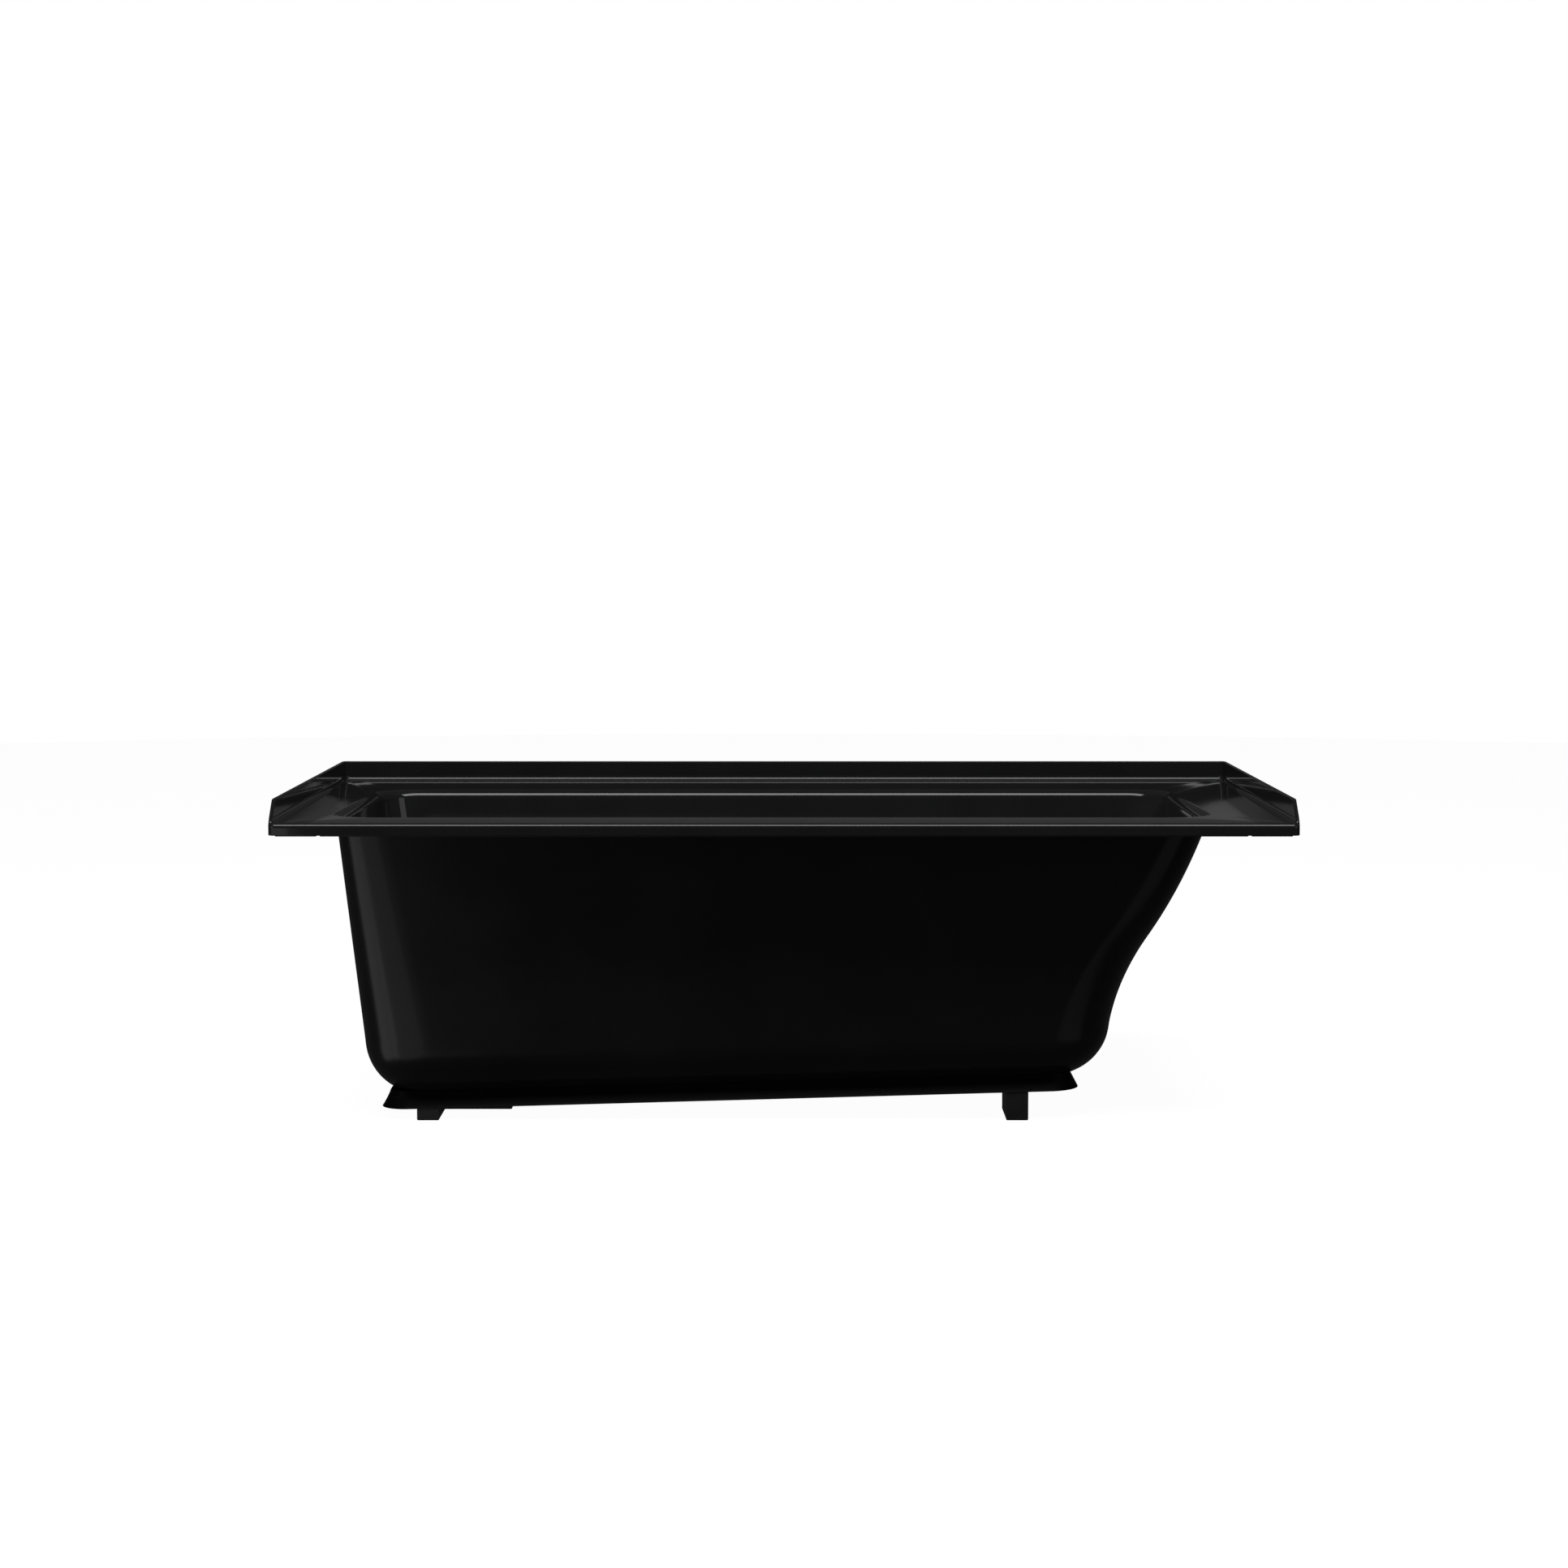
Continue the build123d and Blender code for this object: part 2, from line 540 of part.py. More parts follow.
def make_overflow(wall):
    """Overflow cover and screw on the water side, gasket and outlet body on the back of the wall."""
    back = -WALL
    cup_top = back - OVERFLOW_GASKET
    cup_floor = cup_top - CUP_DEPTH
    gasket = overflow_cylinder(OVERFLOW_GASKET_RADIUS, cup_top, back)
    gasket = gasket - overflow_cylinder(CUP_RADIUS - CUP_WALL, -60, 30) - wall

    body = overflow_cylinder(OVERFLOW_GASKET_RADIUS, cup_top - CUP_FLANGE, cup_top)
    body += overflow_cylinder(CUP_RADIUS, cup_floor, cup_top)
    outlet = overflow_plane() * Pos(0, 0, cup_floor + CUP_DEPTH / 2) * Rot(90, 0, 0)
    spigot_end = COLLAR_END + SPIGOT_LENGTH
    body += outlet * Cylinder(COLLAR_RADIUS, COLLAR_END, align=UPRIGHT)
    body += outlet * Cylinder(SPIGOT_RADIUS, spigot_end, align=UPRIGHT)
    body -= overflow_cylinder(CUP_RADIUS - CUP_WALL, cup_floor + CUP_WALL, 30)
    body -= outlet * Pos(0, 0, CUP_RADIUS - 2 * CUP_WALL) * Cylinder(SPIGOT_BORE, spigot_end, align=UPRIGHT)
    body += overflow_cylinder(2 * OVERFLOW_SCREW_RADIUS, cup_floor, cup_top)

    cover = overflow_cylinder(COVER_RADIUS, COVER_GAP, COVER_DEPTH)
    cover = fillet(cover.edges().filter_by(GeomType.CIRCLE).sort_by(Axis.X)[-1], 2)
    cover -= overflow_cylinder(COVER_RADIUS - COVER_WALL, -1, COVER_DEPTH - COVER_WALL)
    inlet = Box(COVER_RADIUS, COVER_RADIUS, COVER_SLOT, align=(Align.CENTER, Align.MAX, Align.MIN))
    cover -= overflow_plane() * Pos(0, -COVER_RADIUS / 2, -0.5) * inlet
    screw_tip = cup_floor + CUP_WALL + 2
    shank = overflow_cylinder(OVERFLOW_SCREW_RADIUS, screw_tip, COVER_DEPTH)
    head = overflow_cylinder(OVERFLOW_SCREW_HEAD, COVER_DEPTH, COVER_DEPTH + 2.5)
    head = fillet(head.edges().sort_by(Axis.X)[-1], 1.2)
    socket = overflow_plane() * Pos(0, 0, COVER_DEPTH + 1) * extrude(RegularPolygon(1.6, 6), 3)
    return {
        "overflow_cover": cover - shank,
        "overflow_screw": shank + head - socket,
        "overflow_gasket": gasket,
        "overflow_body": body - shank,
    }


def main():
    """Build every node and write it to its own STEP file."""
    os.makedirs("parts", exist_ok=True)
    parts, back = make_skins()
    parts |= make_battens(back) | make_base(back) | make_drain() | make_overflow(back)
    for name, solid in parts.items():
        export_step(solid, f"parts/{name}.step")


main()
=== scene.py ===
"""Looks of a black acrylic alcove bath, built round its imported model.

The bath stands on the floor at the origin: X runs from the drain end to the backrest, Y from the open front
ledge to the long wall, Z up. Shapes are sized in millimetres and their meshes written in metres; the depth
of surface relief and the places of the camera and the lights are in metres.
"""

import json
import logging
from dataclasses import dataclass, field
from enum import Enum
from math import pi, radians

import bmesh
import bpy
import numpy as np
from mathutils import Matrix, Vector

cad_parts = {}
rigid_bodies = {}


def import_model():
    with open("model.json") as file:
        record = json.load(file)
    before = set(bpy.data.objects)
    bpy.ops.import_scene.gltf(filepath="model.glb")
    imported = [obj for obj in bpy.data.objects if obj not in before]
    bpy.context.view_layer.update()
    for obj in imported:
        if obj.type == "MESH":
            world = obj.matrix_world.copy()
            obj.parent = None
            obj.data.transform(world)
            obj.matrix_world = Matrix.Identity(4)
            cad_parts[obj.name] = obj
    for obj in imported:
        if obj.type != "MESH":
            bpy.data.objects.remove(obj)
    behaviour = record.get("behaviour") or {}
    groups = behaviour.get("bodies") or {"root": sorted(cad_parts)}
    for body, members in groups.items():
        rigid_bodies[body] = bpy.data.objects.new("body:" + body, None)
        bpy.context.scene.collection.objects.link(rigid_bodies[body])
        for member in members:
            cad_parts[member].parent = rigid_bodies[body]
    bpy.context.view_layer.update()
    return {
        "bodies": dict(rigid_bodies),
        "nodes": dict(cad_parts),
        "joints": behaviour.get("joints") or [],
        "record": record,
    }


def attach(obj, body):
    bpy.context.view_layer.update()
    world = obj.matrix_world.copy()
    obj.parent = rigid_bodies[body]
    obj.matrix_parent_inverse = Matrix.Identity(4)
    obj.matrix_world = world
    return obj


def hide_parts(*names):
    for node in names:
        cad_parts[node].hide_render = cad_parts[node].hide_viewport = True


Array = np.ndarray
Socket = bpy.types.NodeSocket
Colour = tuple[float, float, float]
LOG = logging.getLogger("alcove_bath")
METRE = 0.001


class Body(str, Enum):
    """Rigid bodies that a piece can ride on."""

    BATH = "bath"
    STOPPER = "stopper"


class Wall(Enum):
    """Sides of the basin."""

    DRAIN = "drain"
    BACKREST = "backrest"
    SIDE = "side"


# --------------------------------------------------------------------------------------- mesh makers


@dataclass(frozen=True)
class RingPath:
    """Closed walk round a rounded rectangle, the same number of steps whatever the rectangle's size.

    Every step has a turn, the direction its outward normal points in, and a share of the way between two of
    the four corner centres. A straight side keeps its turn and moves from one centre to the next; a corner
    keeps its centre and turns through a right angle.
    """

    corner_steps: int = 14
    long_shares: tuple[float, ...] = tuple((i + 0.5) / 22 for i in range(22))
    side_shares: tuple[float, ...] = tuple((i + 0.5) / 12 for i in range(12))

    def steps(self) -> tuple[Array, Array, Array]:
        """Turn of every step, and its place between low and high X and between low and high Y centres.

        Returns:
            Three arrays of one length: turn in radians, share in X and share in Y.
        """
        right = np.array(self.side_shares)
        along = np.array(self.long_shares)
        arc = np.linspace(0.0, pi / 2, self.corner_steps)
        one, zero = np.ones, np.zeros
        turns = [zero(len(right)), arc, one(len(along)) * pi / 2, arc + pi / 2]
        turns += [one(len(right)) * pi, arc + pi, one(len(along)) * 1.5 * pi, arc + 1.5 * pi]
        x_share = [one(len(right)), one(len(arc)), 1 - along, zero(len(arc))]
        x_share += [zero(len(right)), zero(len(arc)), along, one(len(arc))]
        y_share = [right, one(len(arc)), one(len(along)), one(len(arc))]
        y_share += [right[::-1], zero(len(arc)), zero(len(along)), zero(len(arc))]
        return np.concatenate(turns), np.concatenate(x_share), np.concatenate(y_share)

    def plan(
        self, low_x: Array, high_x: Array, low_y: Array, high_y: Array, radius: Array
    ) -> tuple[Array, Array]:
        """Plan of rounded rectangles: corner centre plus the corner radius along the turn.

        Args:
            low_x: Lowest X of each rectangle, as a column.
            high_x: Highest X of each rectangle.
            low_y: Lowest Y of each rectangle.
            high_y: Highest Y of each rectangle.
            radius: Corner radius of each rectangle.

        Returns:
            X and Y of every step of every rectangle.
        """
        turn, x_share, y_share = self.steps()
        centre_x = (low_x + radius) * (1 - x_share) + (high_x - radius) * x_share
        centre_y = (low_y + radius) * (1 - y_share) + (high_y - radius) * y_share
        return centre_x + radius * np.cos(turn), centre_y + radius * np.sin(turn)


def column(values: Array) -> Array:
    """Values stood up as a column, to be spread over a ring's steps."""
    return np.asarray(values, float).reshape(-1, 1)


def grid_faces(rows: int, columns: int, closed_rows: bool, closed_columns: bool) -> Array:
    """Quads of a grid of points, each joining a point to its neighbours in the next row and column.

    Args:
        rows: Number of rows of points.
        columns: Number of points in a row.
        closed_rows: Whether the last row joins the first.
        closed_columns: Whether the last column joins the first.

    Returns:
        Point numbers of each quad.
    """
    i = np.arange(rows if closed_rows else rows - 1)[:, None]
    j = np.arange(columns if closed_columns else columns - 1)[None, :]
    below, beside = (i + 1) % rows, (j + 1) % columns
    corners = (i * columns + j, i * columns + beside, below * columns + beside, below * columns + j)
    return np.stack(np.broadcast_arrays(*corners), axis=-1).reshape(-1, 4)


def new_piece(name: str, points: Array, faces: list[list[int]], crease: float = 32.0) -> bpy.types.Object:
    """Mesh object from points in millimetres, its doubles merged and its faces turned outwards.

    Args:
        name: Name of the piece.
        points: One row of X, Y and Z for each point.
        faces: Point numbers of each face.
        crease: Angle in degrees above which an edge is shaded sharp.

    Returns:
        The object, linked to the scene at the origin.
    """
    mesh = bpy.data.meshes.new(name)
    mesh.from_pydata((points * METRE).tolist(), [], faces)
    work = bmesh.new()
    work.from_mesh(mesh)
    bmesh.ops.remove_doubles(work, verts=work.verts, dist=2e-6)
    bmesh.ops.dissolve_degenerate(work, edges=work.edges, dist=1e-6)
    bmesh.ops.recalc_face_normals(work, faces=work.faces)
    if work.calc_volume(signed=True) < 0:
        bmesh.ops.reverse_faces(work, faces=work.faces)
    work.to_mesh(mesh)
    work.free()
    mesh.shade_smooth()
    mesh.set_sharp_from_angle(angle=radians(crease))
    piece = bpy.data.objects.new(name, mesh)
    bpy.context.scene.collection.objects.link(piece)
    return piece


def revolve(name: str, profile: Array, place: Matrix, steps: int = 96) -> bpy.types.Object:
    """Closed profile turned about its own axis: radius along the turn, height along the axis.

    Args:
        name: Name of the piece.
        profile: Radius and height of each profile point, in order round the profile.
        place: Where the axis's foot and direction are, in millimetres.
        steps: Number of steps round the axis.

    Returns:
        The finished object.
    """
    turn = np.arange(steps) * 2 * pi / steps
    radius, height = profile[:, :1], profile[:, 1:]
    local = np.stack(np.broadcast_arrays(radius * np.cos(turn), radius * np.sin(turn), height), axis=-1)
    frame = np.array(place)
    points = local.reshape(-1, 3) @ frame[:3, :3].T + frame[:3, 3]
    faces = grid_faces(len(profile), steps, True, True)
    return new_piece(name, points, faces.tolist())


# ------------------------------------------------------------------------------------------ finishes


@dataclass
class NodeBench:
    """A material's node tree, with short ways to add its nodes."""

    material: bpy.types.Material

    @classmethod
    def open(cls, name: str) -> "NodeBench":
        """Start a new material and empty its tree."""
        material = bpy.data.materials.new(name)
        material.use_nodes = True
        material.node_tree.nodes.clear()
        return cls(material)

    def add(self, kind: str, **settings: object) -> bpy.types.Node:
        """Add a node.

        Args:
            kind: Node type, without its ShaderNode prefix.
            **settings: Attributes of the node, or values of its inputs where the name is an input's.

        Returns:
            The new node.
        """
        node = self.material.node_tree.nodes.new("ShaderNode" + kind)
        for key, value in settings.items():
            socket = key.replace("_", " ")
            if socket in node.inputs:
                node.inputs[socket].default_value = value
            else:
                setattr(node, key, value)
        return node

    def link(self, source: Socket, target: Socket) -> None:
        """Join an output to an input."""
        self.material.node_tree.links.new(source, target)

    def place(self, scale: tuple[float, float, float] = (1.0, 1.0, 1.0)) -> Socket:
        """Object coordinates, stretched by a scale."""
        where = self.add("TexCoord")
        stretch = self.add("Mapping")
        stretch.inputs["Scale"].default_value = scale
        self.link(where.outputs["Object"], stretch.inputs["Vector"])
        return stretch.outputs["Vector"]

    def noise(self, where: Socket, scale: float, detail: float = 3.0) -> Socket:
        """Cloudy noise at a number of cycles to the metre."""
        node = self.add("TexNoise", Scale=scale, Detail=detail, Roughness=0.55)
        self.link(where, node.inputs["Vector"])
        return node.outputs["Fac"]

    def span(self, source: Socket, low: float, high: float) -> Socket:
        """A value from nought to one, spread over a range."""
        node = self.add("MapRange")
        node.inputs["To Min"].default_value = low
        node.inputs["To Max"].default_value = high
        self.link(source, node.inputs["Value"])
        return node.outputs["Result"]

    def ramp(self, source: Socket, stops: list[tuple[float, Colour]]) -> Socket:
        """A value turned into a colour through stops of place and colour."""
        node = self.add("ValToRGB")
        bar = node.color_ramp
        while len(bar.elements) < len(stops):
            bar.elements.new(0.5)
        for element, (where, colour) in zip(bar.elements, stops):
            element.position = where
            element.color = (*colour, 1.0)
        self.link(source, node.inputs["Fac"])
        return node.outputs["Color"]

    def bump(
        self, height: Socket, depth: float, strength: float = 1.0, under: Socket | None = None
    ) -> Socket:
        """Relief of a depth in metres, over an earlier relief if one is given."""
        node = self.add("Bump", Strength=strength, Distance=depth)
        self.link(height, node.inputs["Height"])
        if under is not None:
            self.link(under, node.inputs["Normal"])
        return node.outputs["Normal"]

    def shader(self, **values: object) -> bpy.types.Node:
        """Principled shader with its output, its constant values set on its own sockets."""
        shader = self.add("BsdfPrincipled")
        for key, value in values.items():
            shader.inputs[key.replace("_", " ")].default_value = value
        output = self.add("OutputMaterial")
        self.link(shader.outputs["BSDF"], output.inputs["Surface"])
        return shader


@dataclass(frozen=True)
class Finish:
    """A surface finish: a name, and how to build its material."""

    name: str

    def build(self) -> bpy.types.Material:
        """Build the material."""
        raise NotImplementedError


@dataclass(frozen=True)
class PolishedAcrylic(Finish):
    """Jet black vacuum-formed acrylic, polished: a faint sag in the sheet and a slightly uneven haze."""

    shade: float = 0.016
    roughness: float = 0.06
    sag: float = 0.00006

    def build(self) -> bpy.types.Material:
        """Black base with cloudy haze in its gloss and two scales of shallow relief."""
        bench = NodeBench.open(self.name)
        shader = bench.shader(IOR=1.49)
        where = bench.place()
        haze = bench.noise(where, 9.0)
        deep = (self.shade * 0.86,) * 3
        light = (self.shade * 1.1, self.shade * 1.12, self.shade * 1.16)
        bench.link(bench.ramp(haze, [(0.3, deep), (0.75, light)]), shader.inputs["Base Color"])
        gloss = bench.span(bench.noise(where, 26.0), self.roughness * 0.8, self.roughness * 1.3)
        bench.link(gloss, shader.inputs["Roughness"])
        wide = bench.bump(bench.noise(where, 5.0, 1.0), self.sag, 0.5)
        bench.link(bench.bump(bench.noise(where, 160.0, 1.0), 0.000002, 0.4, wide), shader.inputs["Normal"])
        return bench.material


@dataclass(frozen=True)
class BackingResin(Finish):
    """Black resin over chopped glass: strands lie just under a smooth, glossy skin."""

    shade: float = 0.012
    roughness: float = 0.2
    relief: float = 0.00003
    gloss: float = 0.32

    def build(self) -> bpy.types.Material:
        """Black base, its gloss and relief broken by stretched cells that stand for glass strands."""
        bench = NodeBench.open(self.name)
        shader = bench.shader(IOR=1.45, Specular_IOR_Level=self.gloss)
        where = bench.place()
        cloud = bench.noise(where, 7.0)
        dark, pale = (self.shade * 0.8,) * 3, (self.shade * 1.15, self.shade * 1.15, self.shade * 1.18)
        bench.link(bench.ramp(cloud, [(0.3, dark), (0.8, pale)]), shader.inputs["Base Color"])
        strand = bench.add("TexVoronoi", Scale=90.0, feature="DISTANCE_TO_EDGE")
        bench.link(bench.place((1.0, 0.35, 0.6)), strand.inputs["Vector"])
        uneven = bench.span(cloud, self.roughness * 0.85, self.roughness * 1.25)
        bench.link(uneven, shader.inputs["Roughness"])
        wide = bench.bump(bench.noise(where, 6.0, 1.0), self.relief * 3, 0.5)
        bench.link(bench.bump(strand.outputs["Distance"], self.relief, 0.12, wide), shader.inputs["Normal"])
        return bench.material


@dataclass(frozen=True)
class Plywood(Finish):
    """Birch plywood brushed over with black resin: thin plies in the edges, long figure on the faces."""

    pale: Colour = (0.046, 0.036, 0.026)
    dark: Colour = (0.016, 0.012, 0.009)

    def build(self) -> bpy.types.Material:
        """Figure from noise drawn out along the bath, crossed by ply bands every 1.5 mm of height."""
        bench = NodeBench.open(self.name)
        shader = bench.shader(Roughness=0.62)
        figure = bench.noise(bench.place((3.0, 60.0, 30.0)), 3.0, 6.0)
        plies = bench.add("TexWave", Scale=104.0, Distortion=0.6, Detail=2.0, bands_direction="Z")
        bench.link(bench.place(), plies.inputs["Vector"])
        both = bench.add("Math", operation="MULTIPLY_ADD")
        bench.link(plies.outputs["Fac"], both.inputs[0])
        both.inputs[1].default_value = 0.35
        bench.link(figure, both.inputs[2])
        colour = bench.ramp(both.outputs["Value"], [(0.3, self.dark), (0.85, self.pale)])
        bench.link(colour, shader.inputs["Base Color"])
        bench.link(bench.bump(figure, 0.0002, 0.4), shader.inputs["Normal"])
        return bench.material


@dataclass(frozen=True)
class SealedBoard(Finish):
    """Particle board under a brushed coat of black resin: chips telegraph through it."""

    shade: float = 0.014
    roughness: float = 0.38

    def build(self) -> bpy.types.Material:
        """Black base with chip-sized cells in colour and relief and long brush marks in the gloss."""
        bench = NodeBench.open(self.name)
        shader = bench.shader(Specular_IOR_Level=0.3)
        where = bench.place()
        chips = bench.add("TexVoronoi", Scale=170.0)
        bench.link(bench.place((1.0, 0.4, 1.0)), chips.inputs["Vector"])
        dark, pale = (self.shade * 0.6,) * 3, (self.shade * 1.5, self.shade * 1.4, self.shade * 1.3)
        colour = bench.ramp(chips.outputs["Distance"], [(0.1, dark), (0.9, pale)])
        bench.link(colour, shader.inputs["Base Color"])
        brush = bench.noise(bench.place((8.0, 120.0, 40.0)), 3.0)
        uneven = bench.span(brush, self.roughness * 0.7, self.roughness * 1.4)
        bench.link(uneven, shader.inputs["Roughness"])
        coarse = bench.bump(chips.outputs["Distance"], 0.0003, 0.25)
        bench.link(bench.bump(bench.noise(where, 300.0), 0.0001, 0.2, coarse), shader.inputs["Normal"])
        return bench.material


@dataclass(frozen=True)
class Moulded(Finish):
    """Moulded plastic, rubber or cured sealant: one colour with a fine tooled grain."""

    colour: Colour = (0.02, 0.02, 0.02)
    roughness: float = 0.5
    grain: float = 900.0
    depth: float = 0.00005
    gloss: float = 0.4

    def build(self) -> bpy.types.Material:
        """Slightly mottled colour, with fine noise for the grain."""
        bench = NodeBench.open(self.name)
        shader = bench.shader(Specular_IOR_Level=self.gloss)
        where = bench.place()
        mottle = bench.noise(where, 40.0)
        low, high = (tuple(c * k for c in self.colour) for k in (0.82, 1.16))
        bench.link(bench.ramp(mottle, [(0.3, low), (0.75, high)]), shader.inputs["Base Color"])
        uneven = bench.span(mottle, self.roughness * 0.85, self.roughness * 1.2)
        bench.link(uneven, shader.inputs["Roughness"])
        bench.link(bench.bump(bench.noise(where, self.grain), self.depth, 0.5), shader.inputs["Normal"])
        return bench.material


@dataclass(frozen=True)
class Metal(Finish):
    """Polished, plated or turned metal, with faint wear in its gloss."""

    colour: Colour = (0.78, 0.79, 0.8)
    roughness: float = 0.08
    lathe_marks: float = 0.0

    def build(self) -> bpy.types.Material:
        """Metal whose gloss is clouded by noise; turned metal has rings of fine marks along Z as well."""
        bench = NodeBench.open(self.name)
        shader = bench.shader(Metallic=1.0)
        where = bench.place()
        wear = bench.noise(where, 120.0, 5.0)
        low, high = (tuple(c * k for c in self.colour) for k in (0.93, 1.04))
        bench.link(bench.ramp(wear, [(0.25, low), (0.8, high)]), shader.inputs["Base Color"])
        bench.link(bench.span(wear, self.roughness * 0.7, self.roughness * 1.6), shader.inputs["Roughness"])
        marks = bench.noise(bench.place((1.0, 1.0, 1.0 + 12.0 * self.lathe_marks)), 220.0, 2.0)
        bench.link(bench.bump(marks, 0.00001 + 0.00004 * self.lathe_marks, 0.4), shader.inputs["Normal"])
        return bench.material


@dataclass(frozen=True)
class StudioFloor(Finish):
    """Pale seamless floor, lit so evenly that little shadow shows on it."""

    glow: float = 0.97

    def build(self) -> bpy.types.Material:
        """Nearly white floor with a very faint paper grain and a glow of its own."""
        bench = NodeBench.open(self.name)
        shader = bench.shader(Roughness=1.0, Specular_IOR_Level=0.0, Emission_Strength=self.glow)
        shader.inputs["Emission Color"].default_value = (1.0, 1.0, 1.0, 1.0)
        paper = bench.noise(bench.place(), 60.0)
        bench.link(bench.ramp(paper, [(0.0, (0.2,) * 3), (1.0, (0.22,) * 3)]), shader.inputs["Base Color"])
        return bench.material


@dataclass
class FinishShelf:
    """Every finish of the bath, by the record's material slot, each built once when first asked for."""

    finishes: dict[str, Finish] = field(
        default_factory=lambda: {
            "gloss_acrylic": PolishedAcrylic("polished_black_acrylic"),
            "glass_fibre_laminate": BackingResin("black_backing_resin"),
            "plywood": Plywood("birch_plywood"),
            "coated_board": SealedBoard("resin_sealed_board"),
            # Skirt resin: the backing resin made four times darker and duller; its near-black is partly the
            # resin's own black and partly painted shade where the body meets the base
            "skirt_resin": BackingResin(
                "skirt_resin", shade=0.003, roughness=0.4, relief=0.00008, gloss=0.08
            ),
            "foot_block": Moulded("foot_block_black", roughness=0.45, grain=500.0),
            "zinc_plated_steel": Metal("bright_zinc", colour=(0.62, 0.62, 0.6), roughness=0.25),
            "chrome_trim": Metal("polished_chrome", roughness=0.05),
            "sealant": Moulded("cured_sealant", colour=(0.66, 0.66, 0.64), roughness=0.4, grain=250.0),
            "black_rubber": Moulded(
                "moulded_rubber", colour=(0.03, 0.03, 0.03), roughness=0.75, gloss=0.25
            ),
            "raw_brass": Metal("turned_brass", colour=(0.72, 0.53, 0.25), roughness=0.22, lathe_marks=1.0),
            "white_acetal": Moulded("white_acetal", colour=(0.8, 0.8, 0.78), roughness=0.35),
            "waste_plastic": Moulded("black_waste_plastic", colour=(0.035, 0.035, 0.036), roughness=0.42),
        }
    )
    built: dict[str, bpy.types.Material] = field(default_factory=dict)

    def material(self, slot: str) -> bpy.types.Material:
        """The material of a slot."""
        if slot not in self.built:
            self.built[slot] = self.finishes[slot].build()
        return self.built[slot]

    def dress(self, piece: bpy.types.Object, slot: str) -> None:
        """Put a slot's material on a piece, in place of whatever it had."""
        piece.data.materials.clear()
        piece.data.materials.append(self.material(slot))


# ---------------------------------------------------------------------------------------- basin form


